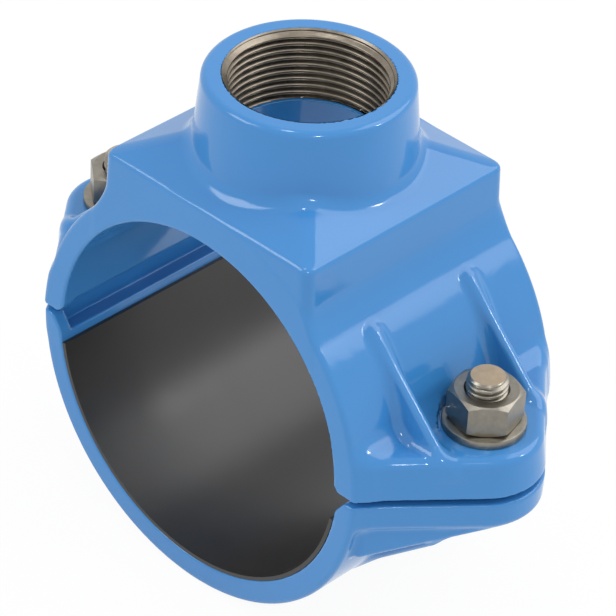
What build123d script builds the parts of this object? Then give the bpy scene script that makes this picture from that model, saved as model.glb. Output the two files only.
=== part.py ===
from build123d import *
import os
from math import cos, radians, sin, sqrt, tan

# Bolted tapping saddle. Millimetres, +Z up along the branch, +Y along the pipe,
# origin on the pipe's axis at the middle of the saddle's length.

# ---- pipe and barrel ----
pipe_diameter = 110.0
saddle_length = 82.0
upper_wall = 6.5
lower_wall = 6.0
split_gap = 2.0
rim_chamfer = 1.2

# ---- rubber lining of the lower half ----
liner_thickness = 1.2
liner_start_angle = 9.8
liner_end_inset = 0.4

# ---- pad and branch boss ----
pad_width = 80.0
pad_edge_height = 65.6
pad_draft = 2.5
pad_slope = 24.0
pad_cove = 5.0
boss_height = 93.4
boss_diameter = 60.0
boss_draft = 5.5
boss_rim_round = 1.8
boss_base_fillet = 3.0

# ---- branch thread, BSP parallel G 1 1/2 ----
thread_minor_diameter = 44.85
thread_major_diameter = 47.8
thread_depth = 22.4
thread_lead_in = 0.4
outlet_diameter = 43.0

# ---- seal round the outlet ----
seal_inner_diameter = 50.0
seal_width = 5.0
seal_depth = 3.0

# ---- ears, ribs and bolt holes ----
bolt_spacing = 146.0
upper_ear_thickness = 12.5
lower_ear_thickness = 8.5
ear_tip_radius = 18.6
ear_root_overhang = 0.5
upper_ear_cove = 6.0
lower_ear_cove = 4.0
upper_ear_setback = 1.8
lower_ear_margin = 0.4
ear_edge_round = 2.5
rib_offset = 19.0
rib_thickness = 4.0
rib_ridge_round = 1.9
rib_stand = 0.7
rib_sink = 3.0
upper_rib_angle = 45.0
lower_rib_angle = 45.0
bolt_hole_diameter = 13.5
slot_reach = 3.6
seat_diameter = 26.0
seat_height = 16.0
upper_relief = 3.6
upper_relief_inset = 4.0
lower_relief_width = 2.4
lower_relief_height = 3.2

# ---- M12 fasteners ----
bolt_diameter = 12.0
bolt_standout = 4.5
bolt_end_chamfer = 1.2
across_flats = 19.0
head_height = 7.5
nut_height = 10.0
left_nut_angle = 22.0
right_nut_angle = -15.0
nut_bore_clearance = 0.05
corner_chamfer_angle = 30.0
washer_diameter = 24.0
washer_hole_diameter = 13.0
washer_thickness = 2.5

# ---- worked out ----
bore_radius = pipe_diameter / 2
upper_radius = bore_radius + upper_wall
lower_inner_radius = bore_radius + liner_thickness
lower_radius = lower_inner_radius + lower_wall
half_length = saddle_length / 2
half_gap = split_gap / 2
bolt_x = bolt_spacing / 2
upper_ear_top = half_gap + upper_ear_thickness
lower_ear_bottom = -half_gap - lower_ear_thickness
bolt_grip = lower_ear_thickness + split_gap + upper_ear_thickness + washer_thickness + nut_height
bolt_length = bolt_grip + bolt_standout
beyond = 2 * pipe_diameter
tiny = 0.01


def arc(centre, start, end):
    """The shorter arc about a centre, from start to end."""
    radius = (start - centre).length
    middle = centre + ((start + end) * 0.5 - centre).normalized() * radius
    return ThreePointArc(start, middle, end)


def along_pipe(section, length):
    """A section drawn in X and Z, carried along the pipe to the given overall length."""
    return extrude(Plane.XZ * section, length / 2, both=True)


def mirrored(line):
    """A line and its mirror image across the plane x = 0, closed into one face."""
    return make_face(line + mirror(line, Plane.YZ))


def cove_foot(radius, height, cove):
    """How far out a cove between a barrel and a flat at the given height meets the flat."""
    return sqrt((radius + cove) ** 2 - (height + cove) ** 2)


def ear_root(radius, height, cove):
    """The cove from the flat of an ear up to the barrel, and the points where it ends."""
    centre = Vector(cove_foot(radius, height, cove), height + cove)
    foot = Vector(centre.X, height)
    top = centre * (radius / (radius + cove))
    return arc(centre, foot, top), foot, top


def pad_side(radius):
    """The drafted side of the pad and its cove to the barrel: the line, and where it starts."""
    lean = tan(radians(pad_draft))
    slant = sqrt(1 + lean ** 2)
    reach = pad_width / 2 + pad_edge_height * lean + pad_cove * slant
    square = reach ** 2 - (radius + pad_cove) ** 2
    z = (reach * lean + sqrt((reach * lean) ** 2 - slant ** 2 * square)) / slant ** 2
    centre = Vector(reach - lean * z, z)
    on_barrel = centre * (radius / (radius + pad_cove))
    on_side = centre - Vector(1, lean) * (pad_cove / slant)
    top_z = pad_edge_height + pad_width / 2
    top = Vector(pad_width / 2 - (top_z - pad_edge_height) * lean, top_z)
    return arc(centre, on_barrel, on_side) + Line(on_side, top) + Line(top, (0, top_z)), on_barrel


def eased_ends(body, keep):
    """Ease the outline of both end faces wherever keep(point) holds."""
    def on_end(edge):
        box = edge.bounding_box()
        return box.size.Y < tiny and abs(abs(box.min.Y) - half_length) < tiny and keep(edge @ 0.5)
    return chamfer(body.edges().filter_by(on_end), rim_chamfer)


def gable(half_width):
    """Everything below a ridged roof that falls to the pad's edge height at the given half width."""
    eaves = (half_width, pad_edge_height)
    ridge = (0, pad_edge_height + half_width * tan(radians(pad_slope)))
    return mirrored(Polyline((0, 0), (beyond, 0), (beyond, pad_edge_height), eaves, ridge))


def upper_body():
    """Barrel, pad and ear roots as one section with coves, under a four-sided hip roof."""
    root, foot, root_top = ear_root(upper_radius, upper_ear_top, upper_ear_cove)
    side, side_start = pad_side(upper_radius)
    barrel = arc(Vector(0, 0), root_top, side_start)
    half = Line((0, half_gap), (foot.X, half_gap)) + Line((foot.X, half_gap), foot) + root + barrel + side
    body = along_pipe(mirrored(half), saddle_length)
    flat_top = pad_edge_height + pad_width / 2
    body = eased_ends(body, lambda p: half_gap + tiny < p.Z < flat_top - tiny and abs(p.X) < foot.X - tiny)
    body = body & extrude(Plane.YZ * gable(half_length), beyond, both=True)
    return body & extrude(Plane.XZ * gable(pad_width / 2), beyond, both=True)


def boss():
    """The branch boss: a drafted cone with a rounded rim, from the pad's edge height upwards."""
    height = boss_height - pad_edge_height
    foot_radius = boss_diameter / 2 + height * tan(radians(boss_draft))
    cone = Pos(0, 0, pad_edge_height) * extrude(Circle(foot_radius), height, taper=boss_draft)
    return fillet(cone.edges().sort_by(Axis.Z)[-1], boss_rim_round)


def boss_on_roof(body):
    """Join the boss to the roof with a cast fillet all round its foot."""
    joined = body + boss()
    reach = half_length if half_length < pad_width / 2 else pad_width / 2

    def at_foot(edge):
        point = edge @ 0.5
        inside = max(abs(point.X), abs(point.Y)) < reach - tiny
        return inside and edge.geom_type != GeomType.LINE and pad_edge_height < point.Z < boss_height - 3 * boss_rim_round

    return fillet(joined.edges().filter_by(at_foot), boss_base_fillet)


def ear_plate(low, high, half_width, tip_radius, corner_x):
    """Both ears as one plate, rounded at the top: a hull of the tips and the barrel's corners."""
    with BuildSketch() as plan:
        Rectangle(2 * corner_x, 2 * half_width)
        with Locations((-bolt_x, 0), (bolt_x, 0)):
            Circle(tip_radius)
        make_hull()
    plate = Pos(0, 0, low) * extrude(plan.sketch, high - low)
    rim = plate.edges().filter_by(lambda e: abs((e @ 0.5).Z - high) < tiny)
    return fillet(rim, ear_edge_round)


def rib(radius, ear_height, angle, side, y):
    """A gusset whose ridge leaves the barrel as a tangent and runs straight down to the ear."""
    tilt = radians(angle)
    ridge_radius = radius + rib_stand
    start = Vector(ridge_radius * cos(tilt), ridge_radius * sin(tilt))
    end = Vector(start.X + (start.Y - ear_height) * tan(tilt), ear_height)
    foot_z = ear_height - rib_sink
    inner = Vector((radius - rib_sink) * cos(tilt), (radius - rib_sink) * sin(tilt))
    outline = Polyline(start, end, (end.X, foot_z), (inner.X, foot_z), inner, start)
    web = along_pipe(make_face(outline), rib_thickness)
    ridge = web.edges().filter_by(lambda e: abs((e @ 0.5).X - (start.X + end.X) / 2) < tiny)
    web = Pos(0, y, 0) * fillet(ridge, rib_ridge_round)
    return web if side > 0 else mirror(web, Plane.YZ)


def ribs(radius, ear_height, angle):
    """Two gussets on each ear, one on either side of its bolt."""
    return [rib(radius, ear_height, angle, side, y) for side in (-1, 1) for y in (-rib_offset, rib_offset)]


def upper_saddle():
    """The upper casting: pad, boss, barrel, ears and ribs, bored for the pipe and the branch."""
    casting = boss_on_roof(upper_body())
    corner_x = cove_foot(upper_radius, upper_ear_top, upper_ear_cove) + ear_root_overhang
    half_width = half_length - upper_ear_setback
    casting += ear_plate(half_gap, upper_ear_top, half_width, ear_tip_radius, corner_x)
    for web in ribs(upper_radius, upper_ear_top, upper_rib_angle):
        casting += web
    casting -= along_pipe(Circle(bore_radius), beyond)
    casting -= branch_bore()
    casting -= seal_ring(seal_depth)
    relief_length = saddle_length - 2 * upper_relief_inset
    for side in (-1, 1):
        casting -= Pos(side * bolt_x, 0, 0) * Cylinder(bolt_hole_diameter / 2, beyond)
        seat = Cylinder(seat_diameter / 2, seat_height, align=(Align.CENTER, Align.CENTER, Align.MIN))
        casting -= Pos(side * bolt_x, 0, upper_ear_top) * seat
        casting -= inner_relief(side, bore_radius, half_gap, upper_relief, upper_relief, relief_length)
    return casting


def branch_bore():
    """Everything bored down the branch: outlet, thread core and its countersunk mouth."""
    top_down = (Align.CENTER, Align.CENTER, Align.MAX)
    core_radius = thread_minor_diameter / 2
    mouth_radius = thread_major_diameter / 2 + thread_lead_in
    sink = mouth_radius - core_radius
    bore = Pos(0, 0, boss_height) * Cylinder(outlet_diameter / 2, boss_height, align=top_down)
    bore += Pos(0, 0, boss_height) * Cylinder(core_radius, thread_depth, align=top_down)
    return bore + Pos(0, 0, boss_height) * Cone(core_radius, mouth_radius, sink, align=top_down)


def seal_ring(depth):
    """The ring of space round the outlet that lies within the given depth of the bore wall."""
    inner = seal_inner_diameter / 2
    ring = Cylinder(inner + seal_width, bore_radius + depth) - Cylinder(inner, bore_radius + depth)
    upright = Pos(0, 0, (bore_radius + depth) / 2) * ring
    wall = along_pipe(Circle(bore_radius + depth) - Circle(bore_radius), saddle_length)
    return upright & wall


def inner_relief(side, radius, z, width, height, length):
    """A wedge that cuts back the inner edge of a half, where it meets the split plane at z."""
    away = 1 if z > 0 else -1
    outer = Vector(side * (radius + width), z)
    upper = Vector(side * radius, z + away * height)
    slope = upper - outer
    corner = Vector(side * (radius - width), z - away * height)
    return along_pipe(make_face(Polyline(outer - slope, upper + slope, corner, outer - slope)), length)


def lower_body():
    """Barrel and ear roots of the lower half, drawn upside up and then turned over."""
    root, foot, root_top = ear_root(lower_radius, lower_ear_thickness, lower_ear_cove)
    barrel = arc(Vector(0, 0), root_top, Vector(0, lower_radius))
    half = Line((0, 0), (foot.X, 0)) + Line((foot.X, 0), foot) + root + barrel
    body = along_pipe(mirrored(half), saddle_length)
    return eased_ends(body, lambda p: p.Z > tiny and abs(p.X) < foot.X - tiny)


def lower_saddle():
    """The lower casting: barrel, ears and ribs below the split, cut for lining and bolts."""
    casting = lower_body()
    corner_x = cove_foot(lower_radius, lower_ear_thickness, lower_ear_cove) + ear_root_overhang
    tip_radius = ear_tip_radius + lower_ear_margin
    casting += ear_plate(0, lower_ear_thickness, half_length, tip_radius, corner_x)
    for web in ribs(lower_radius, lower_ear_thickness, lower_rib_angle):
        casting += web
    casting = Pos(0, 0, -half_gap) * mirror(casting, Plane.XY)
    casting -= along_pipe(Circle(lower_inner_radius), beyond)
    for side in (-1, 1):
        slot = SlotCenterToCenter(2 * slot_reach, bolt_hole_diameter)
        casting -= Pos(side * (bolt_x - slot_reach), 0, 0) * extrude(slot, beyond / 2, both=True)
        seat = Cylinder(seat_diameter / 2, seat_height, align=(Align.CENTER, Align.CENTER, Align.MAX))
        casting -= Pos(side * bolt_x, 0, lower_ear_bottom) * seat
        casting -= inner_relief(side, lower_inner_radius, -half_gap, lower_relief_width, lower_relief_height, beyond)
    return casting


def lower_liner():
    """The rubber sheet that lines the lower half, up to just below the reliefs."""
    wall = along_pipe(Circle(lower_inner_radius) - Circle(bore_radius), saddle_length - 2 * liner_end_inset)
    top_z = -bore_radius * sin(radians(liner_start_angle))
    return wall - Pos(0, 0, top_z) * Box(beyond, beyond, beyond, align=(Align.CENTER, Align.CENTER, Align.MIN))


def hexagon_prism(height, angle):
    """A hexagon across the flats whose corners are turned off at the top, as on a real nut."""
    corner_radius = across_flats / 2 / cos(radians(30))
    prism = extrude(RegularPolygon(corner_radius, 6, rotation=angle), height)
    reach = height / tan(radians(corner_chamfer_angle))
    cone = Cone(across_flats / 2 + reach, across_flats / 2, height, align=(Align.CENTER, Align.CENTER, Align.MIN))
    return prism & cone


def bolt(side):
    """Hexagon head under the lower ear and a shank that stands up through the nut."""
    radius = bolt_diameter / 2
    shank = Cylinder(radius, bolt_length, align=(Align.CENTER, Align.CENTER, Align.MIN))
    shank = chamfer(shank.edges().sort_by(Axis.Z)[-1], bolt_end_chamfer)
    head = mirror(hexagon_prism(head_height, 0), Plane.XY)
    return Pos(side * bolt_x, 0, lower_ear_bottom) * (shank + head)


def washer(side):
    """A plain washer on the upper ear."""
    ring = Circle(washer_diameter / 2) - Circle(washer_hole_diameter / 2)
    return Pos(side * bolt_x, 0, upper_ear_top) * extrude(ring, washer_thickness)


def nut(side, angle):
    """A hexagon nut on the washer."""
    core = Cylinder(bolt_diameter / 2 + nut_bore_clearance, nut_height * 3)
    return Pos(side * bolt_x, 0, upper_ear_top + washer_thickness) * (hexagon_prism(nut_height, angle) - core)


pieces = {
    "upper_saddle": upper_saddle(),
    "lower_saddle": lower_saddle(),
    "lower_liner": lower_liner(),
    "branch_seal": seal_ring(seal_depth),
    "bolt_left": bolt(-1),
    "bolt_right": bolt(1),
    "washer_left": washer(-1),
    "washer_right": washer(1),
    "nut_left": nut(-1, left_nut_angle),
    "nut_right": nut(1, right_nut_angle),
}

os.makedirs("parts", exist_ok=True)
for name, piece in pieces.items():
    export_step(piece, f"parts/{name}.step")
    print(name, round(piece.volume), "mm3", "valid" if piece.is_valid else "not valid")
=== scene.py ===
"""Tapping saddle: the looks of a bolted, epoxy-coated pipe saddle with a threaded branch.

Lengths in the builders below are millimetres, like the drawing of such a saddle;
MM turns them to metres where a mesh is written. +Y runs along the pipe, +Z up the branch.
"""

import bmesh
import bpy
import numpy as np
from mathutils import Matrix, Vector


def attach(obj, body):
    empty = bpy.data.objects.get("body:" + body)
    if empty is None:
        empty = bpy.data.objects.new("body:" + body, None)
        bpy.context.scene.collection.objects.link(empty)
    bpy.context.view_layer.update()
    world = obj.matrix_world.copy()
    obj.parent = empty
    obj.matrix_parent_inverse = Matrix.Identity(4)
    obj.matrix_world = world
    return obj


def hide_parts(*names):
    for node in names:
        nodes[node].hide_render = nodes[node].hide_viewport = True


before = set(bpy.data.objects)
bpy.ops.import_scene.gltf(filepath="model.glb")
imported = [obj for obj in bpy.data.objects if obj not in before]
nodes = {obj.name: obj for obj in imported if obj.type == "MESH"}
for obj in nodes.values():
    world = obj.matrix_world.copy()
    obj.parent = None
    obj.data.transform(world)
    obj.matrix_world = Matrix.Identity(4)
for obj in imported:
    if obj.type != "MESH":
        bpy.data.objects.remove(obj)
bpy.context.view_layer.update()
MM = 0.001

# ---- sizes of the saddle ----
BORE = 55.0                  # radius of the pipe
HALF_LENGTH = 41.0
END_DRAFT = 0.018            # the upper end faces lean in by this, away from the split
UPPER_OUTSIDE = 62.7
LOWER_INSIDE = 56.2
LOWER_OUTSIDE = 63.1
HALF_GAP = 1.0
RIM_ROUND = 1.7              # round on the outline of each end face
BORE_ROUND = 0.9
SPLIT_ROUND = 0.8
END_ROUND = 0.5

PAD_HALF_WIDTH = 40.0
PAD_EDGE_HEIGHT = 65.6
PAD_DRAFT = np.radians(2.0)
ROOF_SLOPE = np.radians(24)
ROOF_SETBACK = 0.4           # the roof's front and back eaves start this far inside the side ones
PAD_CORNER_ROUND = 3.5
RIDGE_ROUND = 1.5
EAVE_ROUND = 1.4
PAD_FOOT = 20.0              # pad and boss start inside the casting, at these heights
BOSS_FOOT = 50.0
BOSS_TOP = 93.4
BOSS_RADIUS = 30.0
BOSS_DRAFT = np.radians(5.5)
BOSS_RIM_ROUND = 1.8

THREAD_CREST = 22.425        # G 1 1/2 branch thread
THREAD_DEPTH = 1.479
THREAD_PITCH = 2.309
THREAD_BOTTOM = 71.0
MOUTH_RADIUS = 24.3
OUTLET_RADIUS = 21.5
OUTLET_TOP = 80.0            # above this the thread's bore takes over
OUTLET_ROUND = 0.6

BOLT_X = 73.0
UPPER_EAR_TOP = 13.5
LOWER_EAR_BOTTOM = -9.5
EAR_CORNER = (63.6, 39.0)    # where the tangents from the ear's tip meet the barrel
EAR_CORNER_ROUND = 3.0
EAR_DRAFT = 0.12             # how much the upper ear's edge leans in for each millimetre up
LOWER_EAR_DRAFT = 0.03
UPPER_EAR_TIP = 18.3
LOWER_EAR_TIP = 18.4
UPPER_EAR_ROUND = 2.5
LOWER_EAR_ROUND = 2.0
BOLT_HOLE_RADIUS = 6.75
SLOT_REACH = 1.8             # the lower ear's hole is drawn out to each side of its middle by this
SEAT_RADIUS = 13.0           # machined seats under the washer and round the bolt's head

RIB_OFFSET = 19.3
RIB_HALF_THICKNESS = 1.7
RIB_DRAFT = 0.05
RIB_RIDGE_ROUND = 1.6
RIB_END_ROUND = 1.5
UPPER_RIB = ((47.4, 42.3), (76.2, UPPER_EAR_TOP))    # where the ridge starts and ends, out and up
LOWER_RIB = ((46.0, 42.3), (85.5, 8.1))
UPPER_RIB_FOOT = 8.0
UPPER_RIB_MARGIN = 1.5       # bare ledge between a rib and the ear's edge
LOWER_RIB_MARGIN = 3.0
RIB_EDGE_ROUND = 1.0

SKIRT_DEPTH = 18.8           # wall under the lower ear's edge: its depth at SKIRT_ROOT, and how it rises
SKIRT_ROOT = 66.0
SKIRT_RISE = 0.424
SKIRT_LEAN = 0.92            # turns a height over that sloping edge into a distance from it
SKIRT_OUTSIDE = 1.0
SKIRT_INSIDE = 5.0
SKIRT_DRAFT = 0.06
SKIRT_ROUND = 1.4
HIDDEN_ROOT = 5.0            # lower ribs and skirt start inside the ear, this far below the split

RELIEF_HALF_LENGTH = 36.5    # the hollows along the split stop short of the end faces
UPPER_RELIEF = 3.6           # bevel along the upper casting's inner edge, and how high it goes
UPPER_RELIEF_TOP = 6.0
UPPER_RELIEF_ROUND = 0.3
UPPER_END_CORNER = 4.0       # rounded inner corner that is left beyond the bevel
LOWER_RELIEF_START = 59.4
LOWER_RELIEF_SLOPE = (0.8, 0.6)
LOWER_RELIEF_DEPTH = 5.5
LOWER_RELIEF_ROUND = 0.8
POCKET_OUTSIDE = 61.9        # hollow behind the lower casting's lip
POCKET_DEPTH = 6.6
POCKET_SLOPE = 0.3
POCKET_ROUND = 0.6

PAD_COVE = 5.0               # cast fillets where the forms meet
UPPER_EAR_COVE = 6.0
LOWER_EAR_COVE = 4.0
UPPER_RIB_COVE = 3.0
LOWER_RIB_COVE = 2.5
SKIRT_COVE = 1.5
BOSS_COVE = 3.0

BOLT_RADIUS = 6.0            # M12
BOLT_END = 30.5
BOLT_PITCH = 1.75
BOLT_THREAD_DEPTH = 1.07
BOLT_CHAMFER = 1.1
BOLT_DOME = 0.02             # how far the sheared end dips in its middle
END_CAP_DEPTH = 1.0
POINT = 0.01                 # radius at which a turned piece closes on its axis
HALF_FLATS = 9.5
FACE_RADIUS = HALF_FLATS * 0.96
CORNER_CHAMFER = np.tan(np.radians(30))
COUNTERSINK = 0.45
NUT_CLEARANCE = 0.05
NUT_BOTTOM = 16.0
NUT_TOP = 26.0
HEAD_HEIGHT = 7.5
LEFT_NUT_TURN = np.radians(22)
RIGHT_NUT_TURN = np.radians(-15)
WASHER_BORE = 6.5
WASHER_RADIUS = 12.0
WASHER_TOP = 15.97           # just short of the nut, which turns over it

CELL = 0.82                  # grid that the castings are skinned on; keeps each under 200,000 triangles
DRAWS = 3                    # times that the skin is drawn onto the exact surface
LONGEST_DRAW = 0.4           # furthest that one of them moves a point
FLATTEST_SLOPE = 0.5         # least growth of the distance that a draw reckons with
FACETS = 96                  # steps round a turned piece or a turn of thread
SHARP_ANGLE = np.radians(30)
THREAD_ROWS = 17             # points across one thread, crest to crest


# ================= materials =================
# A texture's Scale below counts waves per millimetre, so 0.03 is a cloud about 33 mm wide.

MIXED_COLOUR = 2             # the Mix node's colour result, whose name its other results share


def linear(hex_colour):
    """An sRGB hex colour as linear red, green, blue and alpha."""
    channels = [int(hex_colour[i:i + 2], 16) / 255 for i in (1, 3, 5)]
    return [c / 12.92 if c <= 0.04045 else ((c + 0.055) / 1.055) ** 2.4 for c in channels] + [1.0]


def add_node(tree, kind, settings=None, **inputs):
    """Adds a node. settings are its own properties; inputs are values or sockets to link, by name,
    or as _0, _1 and so on where a node's inputs share a name."""
    node = tree.nodes.new(kind)
    for name, value in (settings or {}).items():
        setattr(node, name, value)
    for name, value in inputs.items():
        wanted = name.replace("_", " ")
        socket = next((s for s in node.inputs if s.enabled and s.name == wanted), None)
        if socket is None:
            socket = node.inputs[int(name[1:])]
        if isinstance(value, bpy.types.NodeSocket):
            tree.links.new(value, socket)
        else:
            socket.default_value = value
    return node


def material(name, **shader_values):
    """A material with one Principled shader; returns the material, its tree and the shader."""
    made = bpy.data.materials.new(name)
    made.use_nodes = True
    tree = made.node_tree
    tree.nodes.clear()
    shader = add_node(tree, "ShaderNodeBsdfPrincipled", **shader_values)
    output = add_node(tree, "ShaderNodeOutputMaterial")
    tree.links.new(shader.outputs["BSDF"], output.inputs["Surface"])
    return made, tree, shader


def place(tree):
    """Object coordinates in millimetres."""
    coordinates = add_node(tree, "ShaderNodeTexCoord")
    mapping = add_node(tree, "ShaderNodeMapping", Vector=coordinates.outputs["Object"], Scale=(1000.0,) * 3)
    return mapping.outputs["Vector"]


def blue_epoxy():
    """Fusion-bonded epoxy powder on a shot-blasted iron casting: a thick glossy blue skin,
    gently uneven, with an orange peel about 2 mm wide that breaks up the lamps' reflections."""
    made, tree, shader = material("fusion_bonded_blue_epoxy", IOR=1.5)
    at = place(tree)
    cloud = add_node(tree, "ShaderNodeTexNoise", Vector=at, Scale=0.03, Detail=2.0)
    tone = add_node(tree, "ShaderNodeMix", {"data_type": "RGBA"}, Factor=cloud.outputs["Fac"],
                    A=linear("#367dbc"), B=linear("#3c83c2"))
    tree.links.new(tone.outputs[MIXED_COLOUR], shader.inputs["Base Color"])
    smear = add_node(tree, "ShaderNodeTexNoise", Vector=at, Scale=0.12, Detail=3.0)
    rough = add_node(tree, "ShaderNodeMapRange", Value=smear.outputs["Fac"], To_Min=0.08, To_Max=0.15)
    tree.links.new(rough.outputs["Result"], shader.inputs["Roughness"])
    peel = add_node(tree, "ShaderNodeTexNoise", Vector=at, Scale=0.45, Detail=2.0, Roughness=0.45)
    wave = add_node(tree, "ShaderNodeTexNoise", Vector=at, Scale=0.08, Detail=1.0)
    swell = add_node(tree, "ShaderNodeBump", Height=wave.outputs["Fac"], Strength=0.35, Distance=0.00035)
    skin_bump = add_node(tree, "ShaderNodeBump", Height=peel.outputs["Fac"], Normal=swell.outputs["Normal"],
                         Strength=0.25, Distance=0.00006)
    tree.links.new(skin_bump.outputs["Normal"], shader.inputs["Normal"])
    return made


def black_rubber():
    """EPDM sheet, moulded and slightly dusty: satin black with faint smears about 20 mm wide. Its
    grain is finer than this in life, and is drawn at half a millimetre so that it shows."""
    made, tree, shader = material("black_epdm_rubber", IOR=1.52)
    at = place(tree)
    smear = add_node(tree, "ShaderNodeTexNoise", Vector=at, Scale=0.05, Detail=4.0, Roughness=0.55)
    tone = add_node(tree, "ShaderNodeMix", {"data_type": "RGBA"}, Factor=smear.outputs["Fac"],
                    A=linear("#1d1e1f"), B=linear("#2f2c28"))
    tree.links.new(tone.outputs[MIXED_COLOUR], shader.inputs["Base Color"])
    rough = add_node(tree, "ShaderNodeMapRange", Value=smear.outputs["Fac"], To_Min=0.3, To_Max=0.4)
    tree.links.new(rough.outputs["Result"], shader.inputs["Roughness"])
    grain = add_node(tree, "ShaderNodeTexNoise", Vector=at, Scale=2.2, Detail=2.0)
    bump = add_node(tree, "ShaderNodeBump", Height=grain.outputs["Fac"], Strength=0.3, Distance=0.00005)
    tree.links.new(bump.outputs["Normal"], shader.inputs["Normal"])
    return made


def steel(name, light, dark, rough_low, rough_high, grain_mm):
    """A plated or bare steel: two tones in clouds about 3 mm wide, with a matt grain that is drawn
    coarser than in life so that it shows."""
    made, tree, shader = material(name, Metallic=1.0)
    at = place(tree)
    cloud = add_node(tree, "ShaderNodeTexNoise", Vector=at, Scale=0.35, Detail=4.0, Roughness=0.6)
    tone = add_node(tree, "ShaderNodeMix", {"data_type": "RGBA"}, Factor=cloud.outputs["Fac"],
                    A=linear(dark), B=linear(light))
    tree.links.new(tone.outputs[MIXED_COLOUR], shader.inputs["Base Color"])
    rough = add_node(tree, "ShaderNodeMapRange", Value=cloud.outputs["Fac"], To_Min=rough_low,
                     To_Max=rough_high)
    tree.links.new(rough.outputs["Result"], shader.inputs["Roughness"])
    grain = add_node(tree, "ShaderNodeTexNoise", Vector=at, Scale=1 / grain_mm, Detail=2.0)
    bump = add_node(tree, "ShaderNodeBump", Height=grain.outputs["Fac"], Strength=0.3, Distance=0.00004)
    tree.links.new(bump.outputs["Normal"], shader.inputs["Normal"])
    return made


EPOXY = blue_epoxy()
RUBBER = black_rubber()
# Zinc plate that has dulled: a warm grey metal with soft, broad highlights.
PLATED = steel("dull_zinc_plated_steel", "#a39e93", "#6f6b63", 0.26, 0.4, 0.5)
# Iron cut on a lathe and left bare under a film of oil: darker, with sharper streaks of light.
MACHINED = steel("bare_machined_iron", "#988f82", "#645d53", 0.25, 0.4, 0.4)
# The rod's end, cut off after plating: pale clean steel, torn a little rough by the shear.
SHEARED = steel("sheared_bolt_end", "#c4b198", "#a28f75", 0.4, 0.5, 0.3)


# ================= castings: solids described by distance =================
# Each function below gives, for points x, y, z, the distance outside a form (negative inside).

def keep(a, b, radius):
    """What is inside both forms, with the edge between them rounded."""
    inner = np.minimum(np.maximum(a + radius, b + radius), 0)
    return inner + np.hypot(np.maximum(a + radius, 0), np.maximum(b + radius, 0)) - radius


def join(a, b, radius):
    """Both forms together, with a cast fillet in the corner between them."""
    outer = np.maximum(np.minimum(a - radius, b - radius), 0)
    return outer - np.hypot(np.minimum(a - radius, 0), np.minimum(b - radius, 0)) + radius


def cut(a, b, radius=0.01):
    """The first form less the second, with the cut's edge rounded."""
    return keep(a, -b, radius)


def ear_plan(q, w, tip):
    """Outline of an ear seen from above: a round tip drawn by tangents to the barrel's corners."""
    corner_x, corner_y = EAR_CORNER
    run = np.array([BOLT_X - corner_x, -corner_y])
    angle = np.arctan2(run[1], run[0]) + np.arcsin(tip / np.hypot(*run))
    along = (q - BOLT_X) * np.cos(angle) + w * np.sin(angle)
    side = -(q - BOLT_X) * np.sin(angle) + w * np.cos(angle) - tip
    outline = np.where(along > 0, np.hypot(q - BOLT_X, w) - tip, side)
    return keep(outline, w - corner_y, EAR_CORNER_ROUND)


def rib(q, w, z, start, end):
    """A gusset with a straight ridge from its start on the barrel to its end on the ear."""
    (x0, z0), (x1, z1) = start, end
    length = np.hypot(x1 - x0, z1 - z0)
    below = ((z1 - z0) * (q - x0) - (x1 - x0) * (z - z0)) / length
    before = ((x0 - x1) * (q - x0) + (z0 - z1) * (z - z0)) / length
    side = np.abs(w - RIB_OFFSET) - RIB_HALF_THICKNESS - RIB_DRAFT * np.maximum(below, 0)
    return keep(keep(-below, side, RIB_RIDGE_ROUND), before, RIB_END_ROUND)


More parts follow.
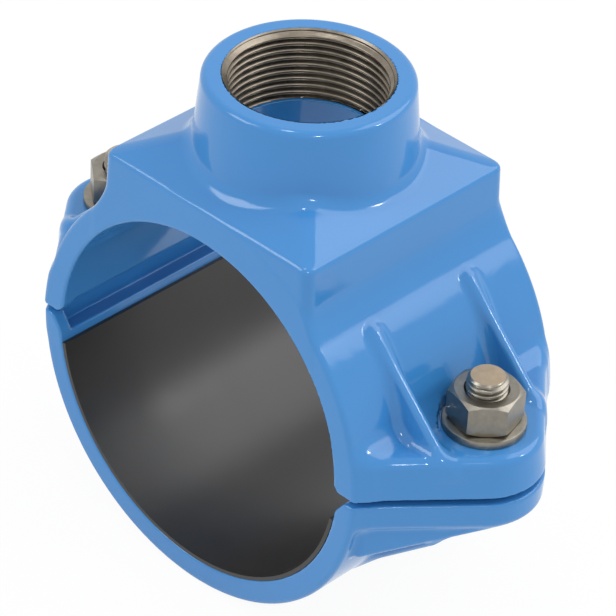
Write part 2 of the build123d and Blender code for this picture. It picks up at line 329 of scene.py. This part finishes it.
def upper_casting(x, y, z):
    """Barrel, pad under its hipped roof, branch boss, ears and ribs; then its bores."""
    q, w, rho = np.abs(x), np.abs(y), np.hypot(x, z)
    end = w - HALF_LENGTH + END_DRAFT * z
    barrel = keep(rho - UPPER_OUTSIDE, end, RIM_ROUND)

    pad_side = (q - PAD_HALF_WIDTH - (PAD_EDGE_HEIGHT - z) * np.tan(PAD_DRAFT)) * np.cos(PAD_DRAFT)
    pad = keep(pad_side, end, PAD_CORNER_ROUND)
    roof_height = (z - PAD_EDGE_HEIGHT) * np.cos(ROOF_SLOPE)
    roof_x = roof_height + (q - PAD_HALF_WIDTH) * np.sin(ROOF_SLOPE)
    roof_y = roof_height + (w - PAD_HALF_WIDTH + ROOF_SETBACK) * np.sin(ROOF_SLOPE)
    pad = np.maximum(keep(pad, keep(roof_x, roof_y, RIDGE_ROUND), EAVE_ROUND), PAD_FOOT - z)

    reach = np.hypot(x, y)
    boss = (reach - BOSS_RADIUS - (BOSS_TOP - z) * np.tan(BOSS_DRAFT)) * np.cos(BOSS_DRAFT)
    boss = np.maximum(keep(boss, z - BOSS_TOP, BOSS_RIM_ROUND), BOSS_FOOT - z)

    outline = ear_plan(q, w, UPPER_EAR_TIP)
    ear = keep(outline + EAR_DRAFT * (z - HALF_GAP), z - UPPER_EAR_TOP, UPPER_EAR_ROUND)
    web = np.maximum(rib(q, w, z, *UPPER_RIB), UPPER_RIB_FOOT - z)
    web = keep(web, outline + UPPER_RIB_MARGIN, RIB_EDGE_ROUND)

    body = join(barrel, pad, PAD_COVE)
    body = join(body, ear, UPPER_EAR_COVE)
    body = join(body, web, UPPER_RIB_COVE)
    body = keep(body, end, END_ROUND)
    body = join(body, boss, BOSS_COVE)

    body = cut(body, rho - BORE, BORE_ROUND)
    body = keep(body, HALF_GAP - z, SPLIT_ROUND)
    inner_corner = keep(BORE - rho, HALF_GAP - z, UPPER_END_CORNER)
    body = np.where(w > RELIEF_HALF_LENGTH, np.maximum(body, inner_corner), body)
    body = cut(body, np.maximum(reach - OUTLET_RADIUS, z - OUTLET_TOP), OUTLET_ROUND)
    body = cut(body, np.maximum(reach - MOUTH_RADIUS, THREAD_BOTTOM - z))
    from_bolt = np.hypot(q - BOLT_X, y)
    body = cut(body, from_bolt - BOLT_HOLE_RADIUS)
    body = cut(body, np.maximum(from_bolt - SEAT_RADIUS, UPPER_EAR_TOP - z))
    bevel = (q - BORE - UPPER_RELIEF + z - HALF_GAP) * np.sqrt(0.5)
    relief = np.maximum(bevel, z - UPPER_RELIEF_TOP)
    return cut(body, np.maximum(relief, w - RELIEF_HALF_LENGTH), UPPER_RELIEF_ROUND)


def lower_casting(x, y, z):
    """Barrel, ears and ribs below the split; then its bore, slots and seats for the bolt heads."""
    q, w, rho = np.abs(x), np.abs(y), np.hypot(x, z)
    low = -z - HALF_GAP
    end = w - HALF_LENGTH
    barrel = keep(np.hypot(x, low) - LOWER_OUTSIDE, end, RIM_ROUND)

    outline = ear_plan(q, w, LOWER_EAR_TIP)
    ear = keep(outline + LOWER_EAR_DRAFT * low, low + LOWER_EAR_BOTTOM + HALF_GAP, LOWER_EAR_ROUND)
    web = np.maximum(rib(q, w, low, *LOWER_RIB), HIDDEN_ROOT - low)
    web = keep(web, outline + LOWER_RIB_MARGIN, RIB_EDGE_ROUND)
    skirt_bottom = (low - SKIRT_DEPTH + SKIRT_RISE * (q - SKIRT_ROOT)) * SKIRT_LEAN
    skirt = keep(outline + SKIRT_OUTSIDE + SKIRT_DRAFT * low, -outline - SKIRT_INSIDE, RIB_EDGE_ROUND)
    skirt = np.maximum(keep(skirt, skirt_bottom, SKIRT_ROUND), HIDDEN_ROOT - low)

    body = join(barrel, ear, LOWER_EAR_COVE)
    body = join(body, web, LOWER_RIB_COVE)
    body = join(body, skirt, SKIRT_COVE)
    body = keep(body, end, END_ROUND)
    body = keep(body, -low, SPLIT_ROUND)

    body = cut(body, rho - LOWER_INSIDE, BORE_ROUND)
    along_slot = np.maximum(np.abs(q - BOLT_X + SLOT_REACH) - SLOT_REACH, 0)
    body = cut(body, np.hypot(along_slot, y) - BOLT_HOLE_RADIUS)
    head_seat = np.maximum(np.hypot(q - BOLT_X, y) - SEAT_RADIUS, z - LOWER_EAR_BOTTOM)
    body = cut(body, head_seat)
    out, up = LOWER_RELIEF_SLOPE
    relief = np.maximum((q - LOWER_RELIEF_START) * out - (z + HALF_GAP) * up, -LOWER_RELIEF_DEPTH - z)
    body = cut(body, relief, LOWER_RELIEF_ROUND)
    floor_height = z + POCKET_DEPTH + POCKET_SLOPE * (q - LOWER_INSIDE)
    pocket = keep(q - POCKET_OUTSIDE, -floor_height, POCKET_ROUND)
    return cut(body, np.maximum(pocket, w - RELIEF_HALF_LENGTH), POCKET_ROUND)


def skin(solid, low, high):
    """The surface of a solid as quads: one point in each grid cell that the surface crosses."""
    ticks = [np.arange(a, b + CELL, CELL) for a, b in zip(low, high)]
    value = solid(*np.meshgrid(*ticks, indexing="ij")).astype(np.float32)
    shape = np.array(value.shape)
    cells = shape - 1
    count = np.zeros(cells.prod(), np.int32)
    total = np.zeros((3, cells.prod()), np.float32)
    quads = []
    for axis in range(3):
        first = [slice(None)] * 3
        second = [slice(None)] * 3
        first[axis], second[axis] = slice(0, -1), slice(1, None)
        before, after = value[tuple(first)], value[tuple(second)]
        edges = np.argwhere((before < 0) != (after < 0))
        b, c = (axis + 1) % 3, (axis + 2) % 3
        before, after = before[tuple(edges.T)], after[tuple(edges.T)]
        crossing = np.stack([ticks[d][edges[:, d]] for d in range(3)])
        crossing[axis] += CELL * before / (before - after)
        around = []
        for step_b, step_c in ((-1, -1), (0, -1), (0, 0), (-1, 0)):
            cell = edges.copy()
            cell[:, b] += step_b
            cell[:, c] += step_c
            cell = np.ravel_multi_index(cell.T, cells)
            around.append(cell)
            count += np.bincount(cell, minlength=len(count)).astype(np.int32)
            for d in range(3):
                total[d] += np.bincount(cell, weights=crossing[d], minlength=len(count)).astype(np.float32)
        quad = np.stack(around, 1)
        turned = before > 0
        quad[turned] = quad[turned][:, ::-1]
        quads.append(quad)
    used = np.flatnonzero(count)
    number = np.full(len(count), -1)
    number[used] = np.arange(len(used))
    points = (total[:, used] / count[used]).T.astype(float)
    return points, number[np.concatenate(quads)]


def slope(solid, points, step=0.05):
    """Which way the distance grows at each point."""
    rows = []
    for axis in range(3):
        shift = np.zeros(3)
        shift[axis] = step
        rows.append((solid(*(points + shift).T) - solid(*(points - shift).T)) / (2 * step))
    return np.stack(rows, 1)


def casting(name, solid, low, high):
    """A cast piece: skinned, drawn onto its exact surface, and shaded by the surface's own slope."""
    points, quads = skin(solid, low, high)
    for _ in range(DRAWS):
        grow = slope(solid, points)
        size = np.maximum((grow ** 2).sum(1), FLATTEST_SLOPE ** 2)
        step = -solid(*points.T) / size
        points += grow * np.clip(step, -LONGEST_DRAW, LONGEST_DRAW)[:, None]
    grow = slope(solid, points)
    mesh = bpy.data.meshes.new(name)
    mesh.from_pydata((points * MM).tolist(), [], quads.tolist())
    mesh.polygons.foreach_set("use_smooth", np.ones(len(quads), bool))
    mesh.update()
    unit = grow / np.maximum(np.linalg.norm(grow, axis=1), 1e-6)[:, None]
    mesh.normals_split_custom_set_from_vertices(unit.tolist())
    return piece(name, mesh, EPOXY)


# ================= pieces =================

def piece(name, mesh, *finishes):
    """A named object that holds the mesh and its materials."""
    mesh.materials.clear()
    for finish in finishes:
        mesh.materials.append(finish)
    made = bpy.data.objects.new(name, mesh)
    bpy.context.scene.collection.objects.link(made)
    return made


def fit(made, body, node):
    """Ride on a body and stand for its plain solid, which it hides."""
    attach(made, body)
    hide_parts(node)
    return made


def turned(name, rings, finish, centre_x, turn=0.0):
    """A closed turned or milled piece. Each ring is a radius and a height, either of which may be
    a rule that gives it at an angle."""
    form = bmesh.new()
    loops = []
    for radius, height in rings:
        loop = []
        for angle in np.arange(FACETS) * 2 * np.pi / FACETS:
            out = radius(angle) if callable(radius) else radius
            up = height(angle) if callable(height) else height
            x = centre_x + out * np.cos(angle + turn)
            y = out * np.sin(angle + turn)
            loop.append(form.verts.new((x * MM, y * MM, up * MM)))
        loops.append(loop)
    loops.append(loops[0])
    for low, high in zip(loops, loops[1:]):
        for i in range(FACETS):
            j = (i + 1) % FACETS
            form.faces.new((low[i], low[j], high[j], high[i]))
    bmesh.ops.remove_doubles(form, verts=form.verts, dist=1e-6)
    bmesh.ops.recalc_face_normals(form, faces=form.faces)
    mesh = bpy.data.meshes.new(name)
    form.to_mesh(mesh)
    form.free()
    made = piece(name, mesh, finish)
    mesh.shade_smooth()
    mesh.set_sharp_from_angle(angle=SHARP_ANGLE)
    return made


def hexagon(angle):
    """Radius of a hexagon across its flats at an angle, with a corner at angle 0."""
    return HALF_FLATS / np.cos(angle % (np.pi / 3) - np.pi / 6)


def chamfered(height, sense):
    """Height of a hexagon's edge where its 30 degree turned corners fall away from a flat face."""
    return lambda angle: height + sense * (hexagon(angle) - FACE_RADIUS) * CORNER_CHAMFER


def nut_rings(bottom, top, bore):
    """Rings of a hexagon nut: bore, countersinks, washer faces and the turned corners."""
    return [(bore, bottom + COUNTERSINK), (bore + COUNTERSINK, bottom), (FACE_RADIUS, bottom),
            (hexagon, chamfered(bottom, 1)), (hexagon, chamfered(top, -1)), (FACE_RADIUS, top),
            (bore + COUNTERSINK, top), (bore, top - COUNTERSINK)]


def thread_tree():
    """Node tree that winds a thread: a grid, one pitch wide, wrapped as a right-hand helix."""
    tree = bpy.data.node_groups.new("wound_thread", "GeometryNodeTree")
    tree.interface.new_socket("Geometry", in_out="OUTPUT", socket_type="NodeSocketGeometry")
    sizes = ["Crest Radius", "Depth", "Pitch", "Low", "High", "Chamfer Start", "Chamfer Slope", "Centre X"]
    for size in sizes:
        tree.interface.new_socket(size, in_out="INPUT", socket_type="NodeSocketFloat")
    tree.interface.new_socket("Steps per Turn", in_out="INPUT", socket_type="NodeSocketInt")
    tree.interface.new_socket("Faces Inwards", in_out="INPUT", socket_type="NodeSocketBool")
    tree.interface.new_socket("Finish", in_out="INPUT", socket_type="NodeSocketMaterial")
    given = add_node(tree, "NodeGroupInput").outputs
    value = {socket.name: socket for socket in given if socket.name}

    def work_out(rows):
        """Each row is what it gives, how, and from which named values or numbers."""
        for made, operation, *terms in rows:
            inputs = {f"_{i}": value.get(term, term) for i, term in enumerate(terms)}
            value[made] = add_node(tree, "ShaderNodeMath", {"operation": operation}, **inputs).outputs[0]

    work_out([
        ("height", "SUBTRACT", "High", "Low"),
        ("turns of height", "DIVIDE", "height", "Pitch"),
        ("whole turns", "CEIL", "turns of height"),
        ("turns", "ADD", "whole turns", 1.0),
        ("steps", "MULTIPLY", "turns", "Steps per Turn"),
        ("columns", "ADD", "steps", 1.0),
    ])
    grid = add_node(tree, "GeometryNodeMeshGrid", Size_X=1.0, Size_Y=1.0, Vertices_X=value["columns"],
                    Vertices_Y=THREAD_ROWS)
    position = add_node(tree, "GeometryNodeInputPosition")
    at = add_node(tree, "ShaderNodeSeparateXYZ", Vector=position.outputs[0]).outputs
    value.update({"grid x": at["X"], "grid y": at["Y"]})
    work_out([
        ("along", "ADD", "grid x", 0.5),
        ("turn", "MULTIPLY", "along", "turns"),
        ("across", "ADD", "grid y", 0.5),
        ("angle", "MULTIPLY", "turn", 2 * np.pi),
        ("sum", "ADD", "turn", "across"),
        ("pitches up", "SUBTRACT", "sum", 1.0),
        ("climb", "MULTIPLY", "pitches up", "Pitch"),
        ("free z", "ADD", "Low", "climb"),
        ("z over low", "MAXIMUM", "free z", "Low"),
        ("z", "MINIMUM", "z over low", "High"),
        ("both sides", "MULTIPLY_ADD", "across", 2.0, -1.0),
        ("flank", "ABSOLUTE", "both sides"),
    ])
    shape = add_node(tree, "ShaderNodeMapRange", {"interpolation_type": "SMOOTHSTEP"}, Value=value["flank"],
                     From_Min=0.06, From_Max=0.94)
    value["shape"] = shape.outputs["Result"]
    # "sense" is -1 for an outside thread, whose depth is negative, so one rule chamfers both kinds.
    work_out([
        ("cut radius", "MULTIPLY_ADD", "shape", "Depth", "Crest Radius"),
        ("sense", "SIGN", "Depth"),
        ("above start", "SUBTRACT", "z", "Chamfer Start"),
        ("past", "MAXIMUM", "above start", 0.0),
        ("signed crest", "MULTIPLY", "sense", "Crest Radius"),
        ("chamfer", "MULTIPLY_ADD", "past", "Chamfer Slope", "signed crest"),
        ("signed cut", "MULTIPLY", "sense", "cut radius"),
        ("signed radius", "MAXIMUM", "signed cut", "chamfer"),
        ("radius", "MULTIPLY", "sense", "signed radius"),
        ("cosine", "COSINE", "angle"),
        ("sine", "SINE", "angle"),
        ("x", "MULTIPLY_ADD", "radius", "cosine", "Centre X"),
        ("y", "MULTIPLY", "radius", "sine"),
    ])
    point = add_node(tree, "ShaderNodeCombineXYZ", X=value["x"], Y=value["y"], Z=value["z"])
    metres = add_node(tree, "ShaderNodeVectorMath", {"operation": "SCALE"}, _0=point.outputs[0], Scale=MM)
    wound = add_node(tree, "GeometryNodeSetPosition", Geometry=grid.outputs["Mesh"],
                     Position=metres.outputs[0])
    merged = add_node(tree, "GeometryNodeMergeByDistance", Geometry=wound.outputs[0], Distance=2e-6)
    flipped = add_node(tree, "GeometryNodeFlipFaces", Mesh=merged.outputs[0],
                       Selection=given["Faces Inwards"])
    smooth = add_node(tree, "GeometryNodeSetShadeSmooth", Geometry=flipped.outputs[0])
    real = add_node(tree, "GeometryNodeRealizeInstances", Geometry=smooth.outputs[0])
    finished = add_node(tree, "GeometryNodeSetMaterial", Geometry=real.outputs[0], Material=given["Finish"])
    result = add_node(tree, "NodeGroupOutput")
    tree.links.new(finished.outputs[0], result.inputs[0])
    return tree


WOUND_THREAD = thread_tree()


def baked(name, tree, **values):
    """The plain mesh that a node tree makes from these named inputs."""
    carrier = bpy.data.objects.new(name + "_tree", bpy.data.meshes.new(name + "_tree"))
    bpy.context.scene.collection.objects.link(carrier)
    modifier = carrier.modifiers.new(tree.name, "NODES")
    modifier.node_group = tree
    for item in tree.interface.items_tree:
        key = item.name.replace(" ", "_").lower()
        if item.in_out == "INPUT" and key in values:
            modifier[item.identifier] = values[key]
    evaluated = carrier.evaluated_get(bpy.context.evaluated_depsgraph_get())
    mesh = bpy.data.meshes.new_from_object(evaluated)
    bpy.data.objects.remove(carrier)
    mesh.name = name
    return mesh


def thread(name, finish, inwards=False, centre_x=0.0, **sizes):
    """A wound thread as a piece, chamfered at 45 degrees above its chamfer start."""
    mesh = baked(name, WOUND_THREAD, finish=finish, faces_inwards=inwards, centre_x=centre_x,
                 chamfer_slope=1.0, steps_per_turn=FACETS, **sizes)
    return piece(name, mesh, finish)


# ---- the two castings ----
top_half = casting("upper_casting", upper_casting, (-96, -43, -2), (96, 43, 96))
fit(top_half, "saddle_top", "upper_saddle")
bottom_half = casting("lower_casting", lower_casting, (-97, -43, -66), (97, 43, 2))
fit(bottom_half, "strap", "lower_saddle")

# ---- branch thread ----
branch_thread = thread("branch_thread", MACHINED, inwards=True, crest_radius=THREAD_CREST,
                       depth=THREAD_DEPTH, pitch=THREAD_PITCH, low=THREAD_BOTTOM, high=BOSS_TOP,
                       chamfer_start=BOSS_TOP - (MOUTH_RADIUS - THREAD_CREST))
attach(branch_thread, "saddle_top")

# ---- fasteners ----
hexagon_nut = nut_rings(NUT_BOTTOM, NUT_TOP, BOLT_RADIUS + NUT_CLEARANCE)
washer_rings = [(WASHER_BORE, UPPER_EAR_TOP), (WASHER_RADIUS - 0.2, UPPER_EAR_TOP),
                (WASHER_RADIUS, UPPER_EAR_TOP + 0.2), (WASHER_RADIUS, WASHER_TOP - 0.47),
                (WASHER_RADIUS - 0.15, WASHER_TOP - 0.12), (WASHER_RADIUS - 0.5, WASHER_TOP),
                (WASHER_BORE, WASHER_TOP)]
HEAD_BOTTOM = LOWER_EAR_BOTTOM - HEAD_HEIGHT
head_rings = [(POINT, HEAD_BOTTOM), (FACE_RADIUS, HEAD_BOTTOM), (hexagon, chamfered(HEAD_BOTTOM, 1)),
              (hexagon, LOWER_EAR_BOTTOM), (BOLT_RADIUS, LOWER_EAR_BOTTOM), (BOLT_RADIUS, 0.0), (POINT, 0.0)]
end_rings = [(POINT, BOLT_END - BOLT_DOME), (BOLT_RADIUS - BOLT_CHAMFER, BOLT_END),
             (POINT, BOLT_END - END_CAP_DEPTH)]

for name, x, turn in (("left", -BOLT_X, LEFT_NUT_TURN), ("right", BOLT_X, RIGHT_NUT_TURN)):
    nut = turned(f"hex_nut_{name}", hexagon_nut, PLATED, x, turn)
    fit(nut, f"nut_{name}", f"nut_{name}")
    washer = turned(f"flat_washer_{name}", washer_rings, PLATED, x)
    fit(washer, "saddle_top", f"washer_{name}")
    head = turned(f"bolt_{name}_head", head_rings, PLATED, x)
    wound = thread(f"bolt_{name}_thread", PLATED, centre_x=x, crest_radius=BOLT_RADIUS,
                   depth=-BOLT_THREAD_DEPTH, pitch=BOLT_PITCH, low=0.0, high=BOLT_END,
                   chamfer_start=BOLT_END - BOLT_CHAMFER)
    sheared_end = turned(f"bolt_{name}_end", end_rings, SHEARED, x)
    for made in (head, wound, sheared_end):
        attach(made, "strap")
    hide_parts(f"bolt_{name}")

# ---- rubber ----
for name in ("lower_liner", "branch_seal"):
    nodes[name].data.materials.clear()
    nodes[name].data.materials.append(RUBBER)


# ================= studio =================

FLOOR_REACH = 3.0            # metres from the middle to each edge of the floor
FLOOR_GAP = 0.0002           # metres between the lower casting and the floor
PAPER_WHITE = 0.94           # how much of the floor's look is plain white; the rest keeps the shadow
LIGHT_AROUND = 0.72
AIM = Vector((0, 0, 0.02))
WHITE = (1, 1, 1, 1)

def square(name, reach, height):
    """A flat square round the middle at one height."""
    mesh = bpy.data.meshes.new(name)
    corners = [(-reach, -reach), (reach, -reach), (reach, reach), (-reach, reach)]
    mesh.from_pydata([(x, y, height) for x, y in corners], [], [(0, 1, 2, 3)])
    return mesh


def lamp(name, power, size, where):
    """A soft square lamp, aimed at the saddle."""
    light = bpy.data.lights.new(name, "AREA")
    light.energy = power
    light.size = size
    made = bpy.data.objects.new(name, light)
    made.location = where
    made.rotation_euler = (AIM - Vector(where)).to_track_quat("-Z", "Y").to_euler()
    bpy.context.scene.collection.objects.link(made)


def seen_directly(tree):
    """1 where the camera, a reflection or a view through glass sees the surface, and otherwise 0."""
    path = add_node(tree, "ShaderNodeLightPath").outputs
    larger = {"operation": "MAXIMUM"}
    seen = add_node(tree, "ShaderNodeMath", larger, _0=path["Is Camera Ray"], _1=path["Is Glossy Ray"])
    seen = add_node(tree, "ShaderNodeMath", larger, _0=seen.outputs[0], _1=path["Is Transmission Ray"])
    return seen.outputs[0]


def paper_floor():
    """White paper: seen straight on it is the plain white of the sweep, with a soft shadow left in it."""
    made, tree, shader = material("white_paper_sweep", Base_Color=linear("#f4f4f2"), Roughness=0.9)
    part = add_node(tree, "ShaderNodeMath", {"operation": "MULTIPLY"}, _0=seen_directly(tree), _1=PAPER_WHITE)
    glow = add_node(tree, "ShaderNodeEmission", Color=WHITE, Strength=1.0)
    mix = add_node(tree, "ShaderNodeMixShader", _0=part.outputs[0], _1=shader.outputs[0], _2=glow.outputs[0])
    output = next(n for n in tree.nodes if n.type == "OUTPUT_MATERIAL")
    tree.links.new(mix.outputs[0], output.inputs["Surface"])
    return made


floor_height = -(LOWER_OUTSIDE + HALF_GAP) * MM - FLOOR_GAP
floor = piece("floor", square("floor", FLOOR_REACH, floor_height), paper_floor())

world = bpy.data.worlds.new("studio")
bpy.context.scene.world = world
world.use_nodes = True
sky = world.node_tree
sky.nodes.clear()
around = add_node(sky, "ShaderNodeBackground", Color=WHITE, Strength=LIGHT_AROUND)
white = add_node(sky, "ShaderNodeBackground", Color=WHITE, Strength=1.0)
mix = add_node(sky, "ShaderNodeMixShader", _0=seen_directly(sky), _1=around.outputs[0], _2=white.outputs[0])
add_node(sky, "ShaderNodeOutputWorld", Surface=mix.outputs[0])

lamp("back_softbox", 8.0, 1.1, (0.5, 0.87, 1.0))
lamp("back_right_lamp", 1.4, 0.1, (0.95, 0.65, 0.8))
lamp("front_right_lamp", 2.4, 0.1, (0.9, -0.6, 1.0))
lamp("front_left_softbox", 5.0, 0.6, (-0.6, -0.9, 0.9))
lamp("overhead_lamp", 1.2, 0.1, (-0.15, -0.1, 1.3))

# ---- camera: a long lens, from the front right and above ----
AZIMUTH, ELEVATION, ROLL = np.radians(42.59), np.radians(36.15), np.radians(3.24)
CAMERA_RIGHT, CAMERA_UP, CAMERA_BACK = 3.85, 10.85, 1063.95
SENSOR = 36.0
LENS = 213.899
FURTHEST_SEEN = 20.0         # metres

level = Vector((np.cos(AZIMUTH), np.sin(AZIMUTH), 0))
ahead = Vector((-np.sin(AZIMUTH), np.cos(AZIMUTH), 0))
forward = ahead * np.cos(ELEVATION) - Vector((0, 0, np.sin(ELEVATION)))
upward = level.cross(forward)
right = level * np.cos(ROLL) + upward * np.sin(ROLL)
up = upward * np.cos(ROLL) - level * np.sin(ROLL)
camera = bpy.data.cameras.new("camera")
camera.sensor_width = SENSOR
camera.lens = LENS
camera.clip_end = FURTHEST_SEEN
holder = bpy.data.objects.new("camera", camera)
holder.matrix_world = Matrix((right, up, -forward)).transposed().to_4x4()
holder.location = (right * CAMERA_RIGHT + up * CAMERA_UP - forward * CAMERA_BACK) * MM
bpy.context.scene.collection.objects.link(holder)
bpy.context.scene.camera = holder
bpy.context.scene.view_settings.view_transform = "Standard"
